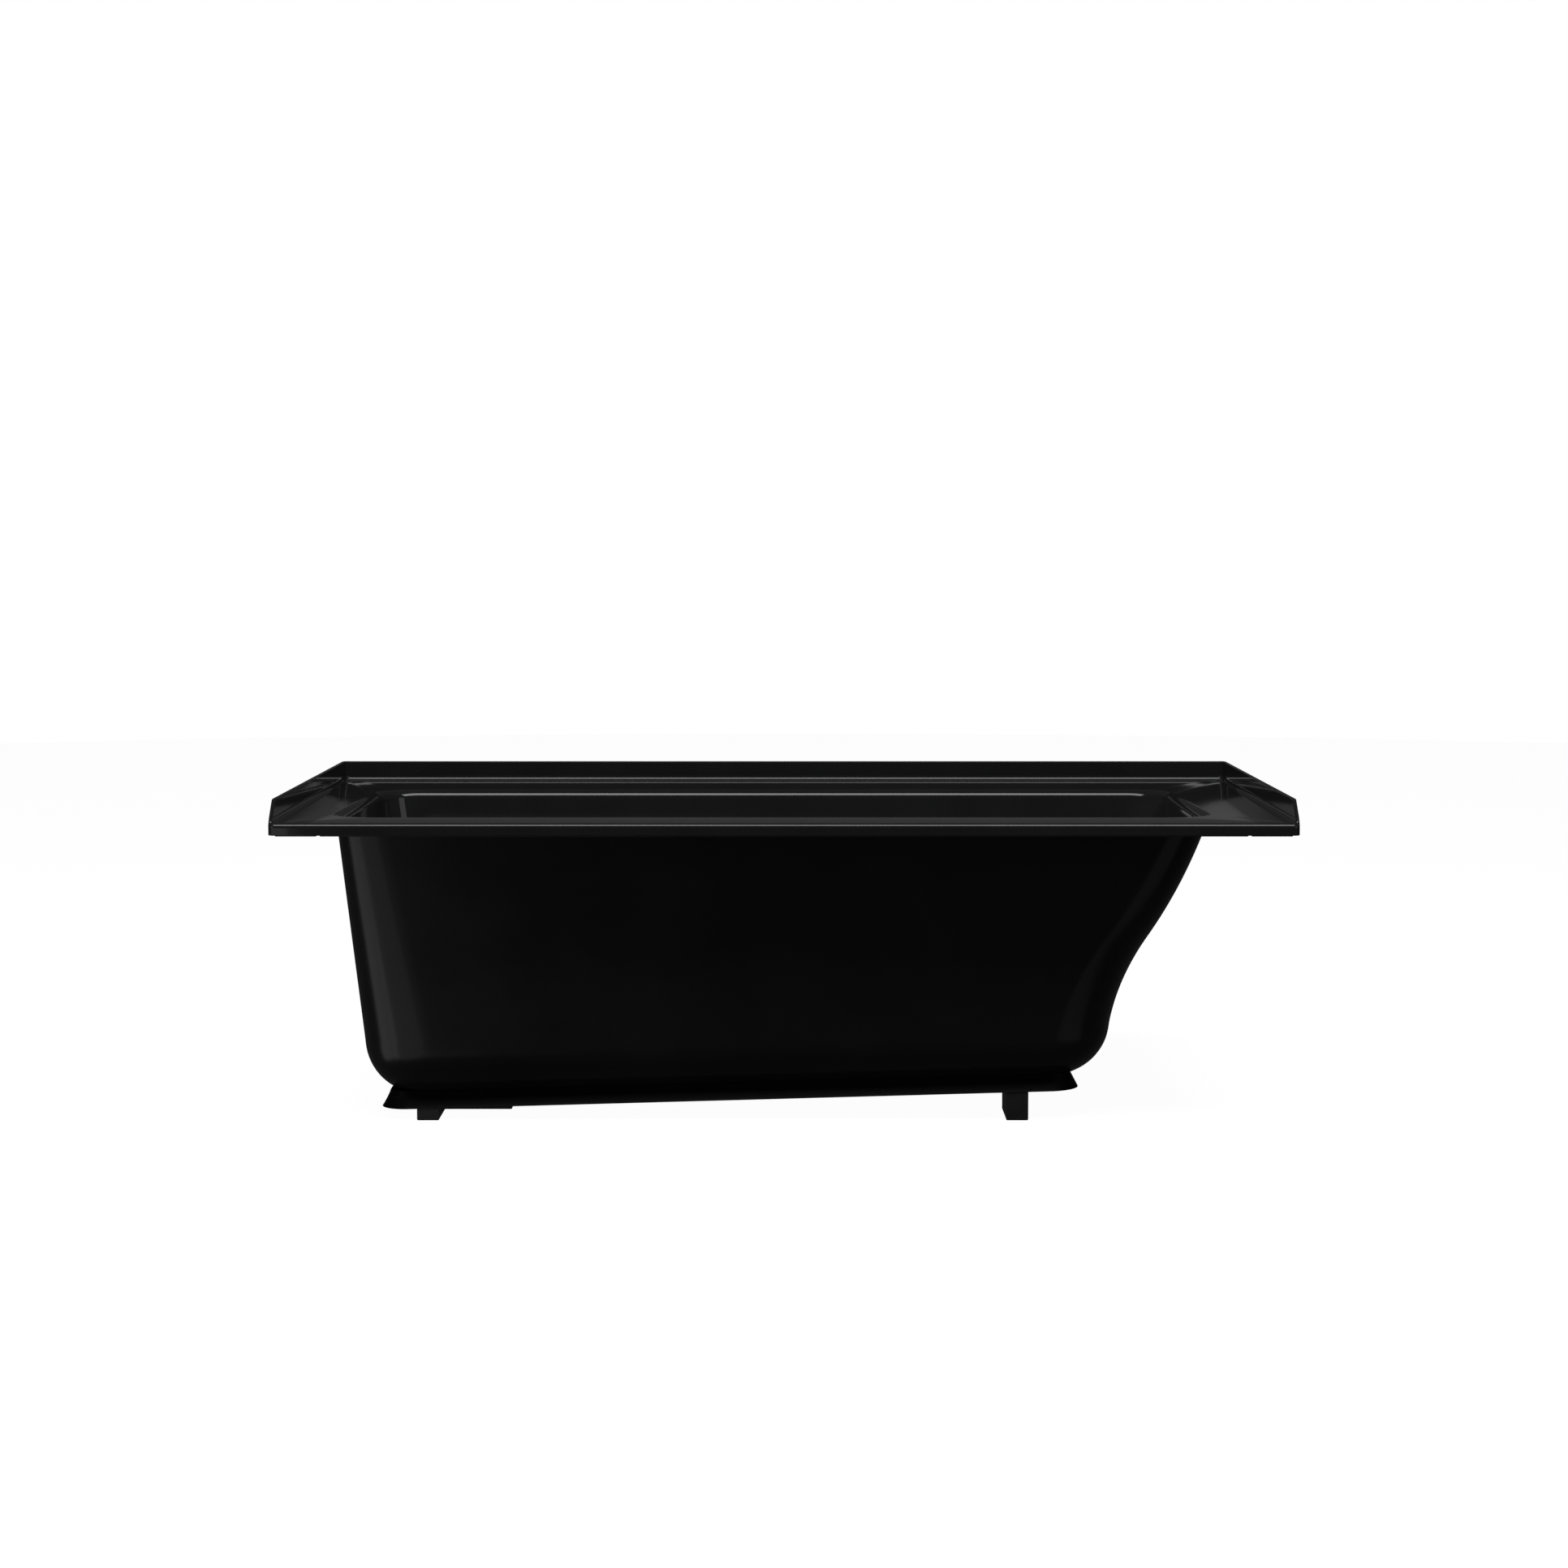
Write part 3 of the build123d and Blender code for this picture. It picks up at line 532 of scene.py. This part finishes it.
@dataclass(frozen=True)
class BasinForm:
    """Surface that acrylic and laminate both follow, `skin` millimetres outside the water side."""

    opening_level: float = 471.25
    opening_fall: float = -0.0123
    opening_radius: float = 16.0
    opening_corner: float = 60.0
    floor_level: float = 58.5
    floor_fall: float = 0.028
    floor_radius: float = 77.0
    floor_corner: float = 95.0
    wall_top: float = 455.0
    drain_wall_top: float = 675.0
    drain_wall_slope: float = 0.097
    side_wall_top: float = 289.0
    side_wall_slope: float = 0.09
    knots: tuple[tuple[float, float, float], ...] = (
        (124.0, 497.0, 0.13),
        (278.0, 554.5, 0.64),
        (455.0, 637.0, 0.33),
    )
    drain_x: float = -508.0
    seat_radius: float = 40.0
    seat_level: float = 42.6
    seat_ease: float = 4.0
    hole_radius: float = 26.0

    def wall(self, side: Wall, level: Array) -> Array:
        """Distance of a wall's water side from the middle: a straight slope, or the backrest's S-curve.

        Args:
            side: Which wall.
            level: Heights.

        Returns:
            Distance at each height.
        """
        if side is Wall.DRAIN:
            return self.drain_wall_top - self.drain_wall_slope * (self.wall_top - level)
        if side is Wall.SIDE:
            return self.side_wall_top - self.side_wall_slope * (self.wall_top - level)
        return self.backrest(level)

    def backrest(self, level: Array) -> Array:
        """Backrest: cubic spans through knots of height, reach and slope, straight beyond the ends."""
        place, reach, slope = (np.array(values) for values in zip(*self.knots))
        span = np.clip(np.searchsorted(place, level, side="right") - 1, 0, len(place) - 2)
        length = place[span + 1] - place[span]
        inside = np.clip(level, place[0], place[-1])
        u = (inside - place[span]) / length
        curve = reach[span] * (2 * u**3 - 3 * u**2 + 1) + reach[span + 1] * (3 * u**2 - 2 * u**3)
        curve = curve + length * (slope[span] * (u**3 - 2 * u**2 + u) + slope[span + 1] * (u**3 - u**2))
        return curve + (level - inside) * np.where(level < place[0], slope[0], slope[-1])

    def lean(self, side: Wall, level: Array) -> Array:
        """Angle of a wall from the vertical."""
        return np.arctan(self.wall(side, level + 0.5) - self.wall(side, level - 0.5))

    def reach(self, side: Wall, level: Array, skin: float) -> Array:
        """Distance of the surface from the middle: floor arc, wall offset square to itself, opening arc.

        Args:
            side: Which wall.
            level: Heights.
            skin: Distance outside the water side.

        Returns:
            Distance at each height.
        """
        floor_centre = self.floor_level + self.floor_radius
        foot_angle = self.lean(side, np.array(floor_centre))
        foot = floor_centre - self.floor_radius * np.sin(foot_angle)
        foot_x = self.wall(side, foot) - self.floor_radius * np.cos(foot_angle)
        floor_arc = self.floor_radius + skin
        low = foot_x + np.sqrt(np.maximum(0.0, floor_arc**2 - (level - floor_centre) ** 2))
        edge_centre = self.opening_level - self.opening_radius
        edge_angle = self.lean(side, np.array(self.wall_top))
        edge_arc = self.opening_radius - skin
        edge_x = self.wall(side, edge_centre + self.opening_radius * np.sin(edge_angle))
        edge_x = edge_x + self.opening_radius * np.cos(edge_angle)
        high = edge_x - np.sqrt(np.maximum(0.0, edge_arc**2 - (level - edge_centre) ** 2))
        angle = self.lean(side, level)
        middle = self.wall(side, level + skin * np.sin(angle)) + skin * np.cos(angle)
        below = level < floor_centre - floor_arc * np.sin(foot_angle)
        above = level > edge_centre + edge_arc * np.sin(edge_angle)
        return np.where(below, low, np.where(above, high, middle))

    def corner(self, level: Array, skin: float) -> Array:
        """Plan radius of the corners: shrinks with the floor arc, grows with the opening arc."""
        floor_centre = self.floor_level + self.floor_radius
        edge_centre = self.opening_level - self.opening_radius
        low = np.sqrt(np.maximum(0.0, (self.floor_radius + skin) ** 2 - (level - floor_centre) ** 2))
        high = np.sqrt(np.maximum(0.0, (self.opening_radius - skin) ** 2 - (level - edge_centre) ** 2))
        share = (level - floor_centre) / (edge_centre - floor_centre)
        middle = self.floor_corner + (self.opening_corner - self.floor_corner) * share + skin
        low = self.floor_corner - self.floor_radius + low
        high = self.opening_corner + self.opening_radius - high
        return np.where(level < floor_centre, low, np.where(level > edge_centre, high, middle))

    def levels(self, skin: float) -> Array:
        """Heights of the rings up to the opening: even turns on the two arcs, even steps between."""
        floor_centre = self.floor_level + self.floor_radius
        edge_centre = self.opening_level - self.opening_radius
        floor_turn = np.radians(np.array([0.0, 0.6, *np.linspace(5, 80, 16)]))
        edge_turn = np.radians(np.array([*np.linspace(0, 84, 15), 88.0, 90.0]))
        floor = floor_centre - (self.floor_radius + skin) * np.cos(floor_turn)
        edge = edge_centre + (self.opening_radius - skin) * np.sin(edge_turn)
        walls = np.linspace(floor[-1], edge_centre, 46)[1:-1]
        return np.concatenate([floor, walls, edge])

    def slopes(self, level: Array, skin: float) -> tuple[Array, Array]:
        """Slopes of the section plane in X and Y: the floor's fall fades out, the opening's fades in."""
        height = self.opening_level - skin - self.floor_level
        share = np.clip((level - self.floor_level) / height, 0.0, 1.0)
        return self.floor_fall * (1 - share), self.opening_fall * share

    def rings(self, path: RingPath, skin: float) -> Array:
        """Rings from the floor's edge up to the opening, each a rounded rectangle in its leaning plane.

        Args:
            path: Walk round each ring.
            skin: Distance outside the water side.

        Returns:
            Points as rows of rings by steps by coordinates.
        """
        level = self.levels(skin)
        side = column(self.reach(Wall.SIDE, level, skin))
        low = -column(self.reach(Wall.DRAIN, level, skin))
        high = column(self.reach(Wall.BACKREST, level, skin))
        across, along = path.plan(low, high, -side, side, column(self.corner(level, skin)))
        fall_x, fall_y = (column(value) for value in self.slopes(level, skin))
        x_size = np.sqrt(1 + fall_x**2)
        y_size = np.sqrt((fall_x * fall_y) ** 2 + (1 + fall_x**2) ** 2 + fall_y**2)
        x = across / x_size - along * fall_x * fall_y / y_size
        y = along * (1 + fall_x**2) / y_size
        z = column(level) + across * fall_x / x_size + along * fall_y / y_size
        return np.stack([x, y, z], axis=-1)

    def floor_to_drain(self, rim: Array, skin: float) -> Array:
        """Floor from its edge to the drain hole: rings that turn from the floor's outline into circles.

        A ring is a blend of the outline and of a circle about the drain with the same turns. Near the drain
        the height eases from the sloping floor down to the level seat.

        Args:
            rim: Ring at the floor's edge.
            skin: Distance outside the water side.

        Returns:
            Rings from the hole's edge outwards, the rim itself left out.
        """
        angle = np.arctan2(rim[:, 1], rim[:, 0] - self.drain_x)
        seat = self.seat_radius + skin
        flat = [self.hole_radius, self.hole_radius + 0.4, seat - 3, seat - 0.4]
        eased = [*np.linspace(seat, seat + self.seat_ease, 8), seat + self.seat_ease + 1]
        radii = column(np.array([*flat, *eased]))
        x = self.drain_x + radii * np.cos(angle)
        y = radii * np.sin(angle)
        share = column(np.linspace(0, 1, 14)[1:-1])
        x = np.concatenate([x, x[-1] * (1 - share) + rim[:, 0] * share])
        y = np.concatenate([y, y[-1] * (1 - share) + rim[:, 1] * share])
        slope = self.floor_level - skin + self.floor_fall * x
        ease = np.clip((np.hypot(x - self.drain_x, y) - seat) / self.seat_ease, 0, 1)
        ease = ease * ease * (3 - 2 * ease)
        z = (self.seat_level - skin) * (1 - ease) + slope * ease
        return np.stack([x, y, z], axis=-1)


# ----------------------------------------------------------------------------------------- the skins


@dataclass
class BathSkins:
    """Acrylic shell with its deck, ledge and tile flange, and the laminate on its back."""

    form: BasinForm = field(default_factory=BasinForm)
    length: float = 1524.0
    width: float = 813.0
    rim: float = 475.0
    lip: float = 18.0
    rim_corner: float = 10.0
    flange: float = 33.0
    flange_thickness: float = 5.0
    cove: float = 8.0
    ramp_start: float = 12.0
    ramp_run: float = 38.0
    ledge_round: float = 6.5
    flange_round: float = 1.2
    inner_round: float = 1.6
    lip_round: float = 1.0
    under_round: float = 4.0
    under_corner: float = 6.0
    bend_ease: float = 1.0
    ledge_trim: float = 0.02
    acrylic: float = 4.0
    wall: float = 8.0

    def path(self) -> RingPath:
        """Walk round the rim, with close steps where the flange slopes down at the front."""
        lower_bend = [10.6, 11.4, 12.2, 13, 14, 16, 20, 26, 32, 38, 44]
        upper_bend = [47, 48.6, 49.4, 50.2, 51, 52, 54, 58, 66, 80, 100]
        places = np.array([*lower_bend, *upper_bend, *np.arange(130, 800, 35)])
        shares = tuple((places - self.rim_corner) / (self.width - 2 * self.rim_corner))
        along = tuple((i + 0.5) / 36 for i in range(36))
        return RingPath(corner_steps=18, side_shares=shares, long_shares=along)

    def ring(self, path: RingPath, inset: Array, corner: Array) -> tuple[Array, Array]:
        """Plan of rings drawn in from the rim's outline.

        Args:
            path: Walk round each ring.
            inset: How far in each step stands.
            corner: Corner radius of each step.

        Returns:
            X and Y of every step.
        """
        half_x, half_y = self.length / 2 - inset, self.width / 2 - inset
        return path.plan(-half_x, half_x, -half_y, half_y, corner)

    def flange_rise(self, y: Array) -> Array:
        """Height of the flange above the rim: nought on the ledge, a straight slope, then full height.

        The two bends are eased: the larger of two lines is half their sum plus half the root of their
        squared difference and a small square, and the smaller likewise with the root taken off.
        """
        line = (y + self.width / 2 - self.ramp_start) / self.ramp_run * self.flange
        small = self.bend_ease**2
        rise = 0.5 * (line + np.sqrt(line**2 + small)) - self.ledge_trim
        rise = 0.5 * (rise + self.flange - np.sqrt((rise - self.flange) ** 2 + small))
        return np.maximum(rise, 0.0)

    def rim_section(self, path: RingPath) -> Array:
        """Deck's edge, cove, flange face, flange top, outer face and lip, as rings from the deck outwards.

        Each ring has an inset and a height at every step. The cove turns through as much of a right angle
        as the flange's height there allows, so where the flange slopes away it leaves the plain ledge.

        Args:
            path: Walk round each ring.

        Returns:
            Points as rows of rings by steps by coordinates.
        """
        _, y_face = self.ring(path, column([self.flange_thickness]), column([self.rim_corner]))
        rise = self.flange_rise(y_face)
        cove = np.minimum(rise, self.cove)
        turn = np.arccos(1 - cove / self.cove) * column(np.linspace(0, 1, 13))
        inset = [self.flange_thickness + self.cove * (1 - np.sin(turn))]
        height = [self.cove * (1 - np.cos(turn))]
        face = inset[0][-1:]
        edge = np.clip(rise - cove, 0.0, self.inner_round)
        share = column(np.array([0.04, 0.3, 0.6, 0.96]))
        inset.append(face + 0 * share)
        height.append(cove + (rise - edge - cove) * share)
        turn = column(np.radians(np.linspace(0, 90, 8)))
        inset.append(face - edge * (1 - np.cos(turn)))
        height.append(rise - edge * (1 - np.sin(turn)))
        walled = np.clip(rise / self.cove, 0, 1)
        outer = self.ledge_round * (1 - walled) + self.flange_round * walled
        share = column(np.array([0.05, 0.5, 0.95]))
        inset.append((face - edge) * (1 - share) + outer * share)
        height.append(rise + 0 * share)
        inset.append(outer * (1 - np.sin(turn)))
        height.append(rise - outer * (1 - np.cos(turn)))
        share = column(np.array([0.03, 0.5, 0.95]))
        inset.append(0 * (rise + share))
        height.append((rise - outer) * (1 - share) + (self.lip_round - self.lip) * share)
        inset.append(0 * rise + self.lip_round * (1 - np.cos(turn)))
        height.append(0 * rise - self.lip + self.lip_round * (1 - np.sin(turn)))
        in_lip = self.acrylic - 0.6
        inset.append(0 * rise + column(np.array([in_lip, self.acrylic, self.acrylic, self.acrylic])))
        height.append(0 * rise + column(np.array([-self.lip, 0.6 - self.lip, -12.0, -8.0])))
        inset, height = np.concatenate(inset), np.concatenate(height)
        bare = np.interp(inset, [0, 7.5, 13], [self.rim_corner, 2.5, 3.0])
        corner = np.interp(inset, [0, 3.4, 5, 13], [self.rim_corner, 6.6, self.rim_corner, 3.0])
        corner = bare * (1 - walled) + corner * walled
        x, y = self.ring(path, inset, corner)
        return np.stack([x, y, self.rim + height], axis=-1)

    def between(self, low: Array, high: Array, shares: Array) -> Array:
        """Rings that lie evenly between two rings: a straight line from each step to its partner."""
        share = shares[:, None, None]
        return low[None] * (1 - share) + high[None] * share

    def under_deck(self, path: RingPath, drop: float, skin: float) -> Array:
        """Underside of the deck, from the back of the lip in to the opening.

        Args:
            path: Walk round each ring.
            drop: How far below the rim the underside lies at the lip.
            skin: Skin whose opening it runs into.

        Returns:
            Rings from the lip inwards, the opening's own ring left out.
        """
        turn = column(np.radians(np.linspace(0, 90, 6)))
        inset = self.acrylic + self.under_round * (1 - np.cos(turn))
        x, y = self.ring(path, inset, 0 * inset + self.under_corner)
        z = 0 * x + self.rim - drop - self.under_round * (1 - np.sin(turn))
        curve = np.stack([x, y, z], axis=-1)
        opening = self.form.rings(path, skin)[-1]
        return np.concatenate([curve, self.between(curve[-1], opening, np.linspace(0, 1, 12)[1:-1])])

    def acrylic_shell(self) -> bpy.types.Object:
        """Acrylic: one closed surface, up the basin from the drain hole, over the rim and back beneath."""
        path = self.path()
        water, bond = self.form.rings(path, 0.0), self.form.rings(path, self.acrylic)
        section = self.rim_section(path)
        deck = self.between(water[-1], section[0], np.array([0.006, *np.linspace(0.03, 0.97, 14), 0.994]))
        rows = [self.form.floor_to_drain(water[0], 0.0), water, deck, section]
        rows += [self.under_deck(path, self.acrylic, self.acrylic), bond[::-1]]
        rows.append(self.form.floor_to_drain(bond[0], self.acrylic)[::-1])
        return self.closed("acrylic_bath_shell", np.concatenate(rows))

    def laminate(self) -> bpy.types.Object:
        """Laminate: one closed surface between the back of the acrylic and the outer face of the bath."""
        path = self.path()
        bond, back = self.form.rings(path, self.acrylic), self.form.rings(path, self.wall)
        inner, outer = (self.plate_ring(path, drop) for drop in (self.acrylic, self.wall))
        shares = np.linspace(0, 1, 12)[1:-1]
        rows = [self.form.floor_to_drain(bond[0], self.acrylic), bond]
        rows += [self.between(bond[-1], inner, shares), inner[None]]
        rows += [outer[None], self.between(outer, back[-1], shares), back[::-1]]
        rows.append(self.form.floor_to_drain(back[0], self.wall)[::-1])
        return self.closed("glass_fibre_backing", np.concatenate(rows))

    def plate_ring(self, path: RingPath, drop: float) -> Array:
        """Outline of the laminate inside the lip, at a drop below the rim."""
        x, y = self.ring(path, column([self.acrylic]), column([self.under_corner]))
        return np.stack([x[0], y[0], 0 * x[0] + self.rim - drop], axis=-1)

    def closed(self, name: str, rows: Array) -> bpy.types.Object:
        """Piece from rings that close on themselves both ways."""
        faces = grid_faces(rows.shape[0], rows.shape[1], True, True)
        return new_piece(name, rows.reshape(-1, 3), faces.tolist())

    def build(self, shelf: FinishShelf) -> list[bpy.types.Object]:
        """Build and dress both skins.

        Args:
            shelf: Finishes to dress them with.

        Returns:
            The pieces.
        """
        shell, backing = self.acrylic_shell(), self.laminate()
        roles = (
            (shell, "bath_shell", "gloss_acrylic"),
            (backing, "laminate_shell", "glass_fibre_laminate"),
        )
        for piece, node, slot in roles:
            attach(piece, Body.BATH.value)
            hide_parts(node)
            shelf.dress(piece, slot)
        return [shell, backing]


# ---------------------------------------------------------------------------------- base and stopper


@dataclass
class BaseSkirt:
    """Flared resin skirt that bonds the base board to the body, open at the drain end for a waste pipe."""

    low_x: float = -623.0
    high_x: float = 456.0
    half_width: float = 236.0
    corner: float = 45.0
    level: float = 34.0
    fall: float = 0.028
    flare: float = 13.0
    height: float = 26.5
    wall: float = 9.0
    board: float = 16.5
    overlap: float = 4.0
    inside: float = 30.0
    slot_half: float = 58.0

    def profile(self) -> Array:
        """Section of the skirt: rounded foot, hollow flare, rounded top, step over the board.

        Returns:
            Inset from the base's outline and rise above the board's underside, point by point.
        """
        share = np.linspace(0.06, 0.94, 12)
        flare = np.stack([self.flare * (1 - (1 - share) ** 1.25), self.height * share], axis=-1)
        foot = np.array([[1.0, 0.0], [0.3, 0.15], [0.05, 0.6]])
        top = np.array([[self.flare + 0.3, self.height - 0.3], [self.flare + 1.5, self.height]])
        over = [[self.inside, self.board + self.overlap], [self.inside, self.board]]
        beside = [[self.wall, self.board], [self.wall, 0.0]]
        return np.concatenate([foot, flare, top, np.array(over + beside)])

    def build(self, shelf: FinishShelf) -> bpy.types.Object:
        """Carry the section round the base's outline, from one side of the slot to the other.

        Args:
            shelf: Finishes to dress it with.

        Returns:
            The skirt.
        """
        straight = self.half_width - self.corner
        places = np.array([-150.0, -self.slot_half, -30, 0, 30, self.slot_half, 150])
        shares = tuple((places + straight) / (2 * straight))
        along_shares = tuple((i + 0.5) / 20 for i in range(20))
        path = RingPath(corner_steps=16, side_shares=shares, long_shares=along_shares)
        turn, x_share, y_share = path.steps()
        side = (2 * y_share - 1) * straight
        at_drain = (x_share == 0) & np.isclose(turn, pi) & (np.abs(side) < straight)
        start = int(np.flatnonzero(at_drain & np.isclose(side, -self.slot_half))[0])
        keep = np.roll(~(at_drain & (np.abs(side) < self.slot_half - 1)), -start)
        inset, rise = (column(value) for value in self.profile().T)
        half = self.half_width - inset
        across, along = path.plan(self.low_x + inset, self.high_x - inset, -half, half, self.corner - inset)
        across, along = (np.roll(value, -start, axis=1)[:, keep] for value in (across, along))
        stretch = np.hypot(1.0, self.fall)
        height = self.level + rise + across * self.fall / stretch
        rows = np.stack([across / stretch, along, height], axis=-1)
        faces = grid_faces(rows.shape[0], rows.shape[1], True, False).tolist()
        ends = np.arange(rows.shape[0]) * rows.shape[1]
        faces += [ends.tolist(), (ends + rows.shape[1] - 1).tolist()]
        skirt = new_piece("flared_base_skirt", rows.reshape(-1, 3), faces)
        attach(skirt, Body.BATH.value)
        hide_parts("base_skirt")
        # The skirt's near-black resin holds painted contact shade under the body as well as its own black
        shelf.dress(skirt, "skirt_resin")
        return skirt


@dataclass
class StopperCap:
    """Domed cap of the toe-touch stopper."""

    x: float = -508.0
    level: float = 45.0
    radius: float = 26.0
    edge: float = 3.5
    crown: float = 2.0
    shoulder_round: float = 1.4
    shoulder_drop: float = 1.3

    def build(self, shelf: FinishShelf) -> bpy.types.Object:
        """Turn the cap's section: flat underside, rounded edge, and a dome that falls off as the square.

        Args:
            shelf: Finishes to dress it with.

        Returns:
            The cap.
        """
        bend = self.shoulder_round
        radius = np.linspace(self.radius - bend, 0.0, 16)
        dome = self.edge + self.crown * (1 - (radius / self.radius) ** 2)
        turn = np.radians(np.linspace(0, 84, 8))
        shoulder = self.edge - self.shoulder_drop
        edge = np.stack([self.radius - bend * (1 - np.cos(turn)), shoulder + bend * np.sin(turn)], axis=-1)
        foot = np.array([[0, 0], [self.radius - 0.8, 0], [self.radius - 0.2, 0.2], [self.radius, 0.8]])
        profile = np.concatenate([foot, edge, np.stack([radius, dome], axis=-1)])
        cap = revolve("stopper_cap_dome", profile, Matrix.Translation((self.x, 0.0, self.level)))
        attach(cap, Body.STOPPER.value)
        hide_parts("stopper_cap")
        shelf.dress(cap, "chrome_trim")
        return cap


# --------------------------------------------------------------------------------------- whole scene


@dataclass
class KeptNodes:
    """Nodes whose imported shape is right: each only gets its finish."""

    frame: dict

    def build(self, shelf: FinishShelf, replaced: set[str]) -> list[str]:
        """Dress every node that no new piece stands for.

        Args:
            shelf: Finishes to dress them with.
            replaced: Nodes that new pieces stand for.

        Returns:
            Names of the dressed nodes.
        """
        dressed = []
        for part in self.frame["record"]["subparts"]:
            if part["node"] not in replaced:
                shelf.dress(self.frame["nodes"][part["node"]], part["material_slot"])
                dressed.append(part["node"])
        return dressed


@dataclass(frozen=True)
class SoftLight:
    """A soft panel of light, aimed at a point."""

    name: str
    place: tuple[float, float, float]
    aim: tuple[float, float, float]
    size: tuple[float, float]
    power: float

    def build(self) -> bpy.types.Object:
        """Hang the panel and turn it to its aim."""
        data = bpy.data.lights.new(self.name, "AREA")
        data.shape = "RECTANGLE"
        data.size, data.size_y = self.size
        data.energy = self.power
        light = bpy.data.objects.new(self.name, data)
        bpy.context.scene.collection.objects.link(light)
        light.location = self.place
        light.rotation_euler = (Vector(self.aim) - Vector(self.place)).to_track_quat("-Z", "Y").to_euler()
        light.visible_camera = False
        return light


@dataclass
class Studio:
    """Pale floor, plain backdrop light, soft panels and the camera."""

    surround: float = 0.03
    backdrop: float = 1.0
    camera_place: tuple[float, float, float] = (0.0, -5.1108, 0.9127)
    camera_tilt: float = 85.395
    lens: float = 73.584
    floor_rings: tuple[float, float] = (4000.0, 9000.0)
    floor_steps: int = 96
    floor_drop: float = 0.4

    def floor(self) -> bpy.types.Object:
        """Round pale floor under the bath, sized in millimetres."""
        turn = np.arange(self.floor_steps) * 2 * pi / self.floor_steps
        rings = column(self.floor_rings)
        x, y = rings * np.cos(turn), rings * np.sin(turn)
        points = np.stack([x, y, 0 * x - self.floor_drop], axis=-1).reshape(-1, 3)
        faces = [list(range(self.floor_steps)), *grid_faces(2, self.floor_steps, False, True).tolist()]
        floor = new_piece("studio_floor", points, faces)
        floor.data.materials.append(StudioFloor("pale_floor").build())
        floor.visible_glossy = False
        floor.visible_diffuse = False
        floor.visible_shadow = False
        return floor

    def world(self) -> None:
        """White backdrop behind a dim, even surround."""
        world = bpy.data.worlds.new("studio")
        bpy.context.scene.world = world
        world.use_nodes = True
        nodes, links = world.node_tree.nodes, world.node_tree.links
        nodes.clear()
        path = nodes.new("ShaderNodeLightPath")
        lit, seen = nodes.new("ShaderNodeBackground"), nodes.new("ShaderNodeBackground")
        lit.inputs["Color"].default_value = (self.surround,) * 3 + (1.0,)
        seen.inputs["Color"].default_value = (self.backdrop,) * 3 + (1.0,)
        mix, output = nodes.new("ShaderNodeMixShader"), nodes.new("ShaderNodeOutputWorld")
        links.new(path.outputs["Is Camera Ray"], mix.inputs["Fac"])
        links.new(lit.outputs["Background"], mix.inputs[1])
        links.new(seen.outputs["Background"], mix.inputs[2])
        links.new(mix.outputs["Shader"], output.inputs["Surface"])

    def camera(self) -> bpy.types.Object:
        """Camera in front of the ledge, a little above the rim."""
        data = bpy.data.cameras.new("camera")
        data.lens, data.sensor_width = self.lens, 36.0
        data.clip_end = 100.0
        camera = bpy.data.objects.new("camera", data)
        camera.location = self.camera_place
        camera.rotation_euler = (radians(self.camera_tilt), 0.0, 0.0)
        bpy.context.scene.collection.objects.link(camera)
        bpy.context.scene.camera = camera
        return camera

    def build(self) -> None:
        """Set the whole studio."""
        self.floor()
        self.world()
        self.camera()
        rim = (0.0, 0.0, 0.475)
        panels = (
            SoftLight("overhead_panel", (0.0, -1.3, 3.2), rim, (3.4, 1.5), 75.0),
            SoftLight("left_side_panel", (-2.9, -2.2, 1.3), rim, (1.4, 1.2), 5.0),
            SoftLight("right_side_panel", (2.9, -2.2, 1.3), rim, (1.4, 1.2), 4.0),
            SoftLight("left_low_panel", (-2.3, -2.7, -0.7), (-0.5, -0.3, 0.3), (3.0, 2.4), 10.5),
            SoftLight("left_low_side_panel", (-3.4, -0.9, -0.7), (-0.7, -0.2, 0.3), (1.8, 1.8), 8.0),
            SoftLight("right_low_panel", (2.7, -2.4, -0.8), (0.6, -0.2, 0.25), (2.4, 2.0), 1.8),
            SoftLight("back_card", (0.0, 2.0, 0.592), (0.0, 0.0, 0.592), (2.5, 0.184), 0.095),
        )
        for panel in panels:
            panel.build()


def main() -> None:
    """Build the bath piece by piece, then the studio, and log each new piece's face count."""
    logging.basicConfig(level=logging.INFO, format="%(message)s")
    bpy.context.scene.view_settings.view_transform = "Standard"
    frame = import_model()
    shelf = FinishShelf()
    for piece in [*BathSkins().build(shelf), BaseSkirt().build(shelf), StopperCap().build(shelf)]:
        LOG.info("built %s: %d faces", piece.name, len(piece.data.polygons))
    dressed = KeptNodes(frame).build(shelf, {"bath_shell", "laminate_shell", "base_skirt", "stopper_cap"})
    LOG.info("dressed %s", ", ".join(dressed))
    Studio().build()


if __name__ == "__main__":
    main()
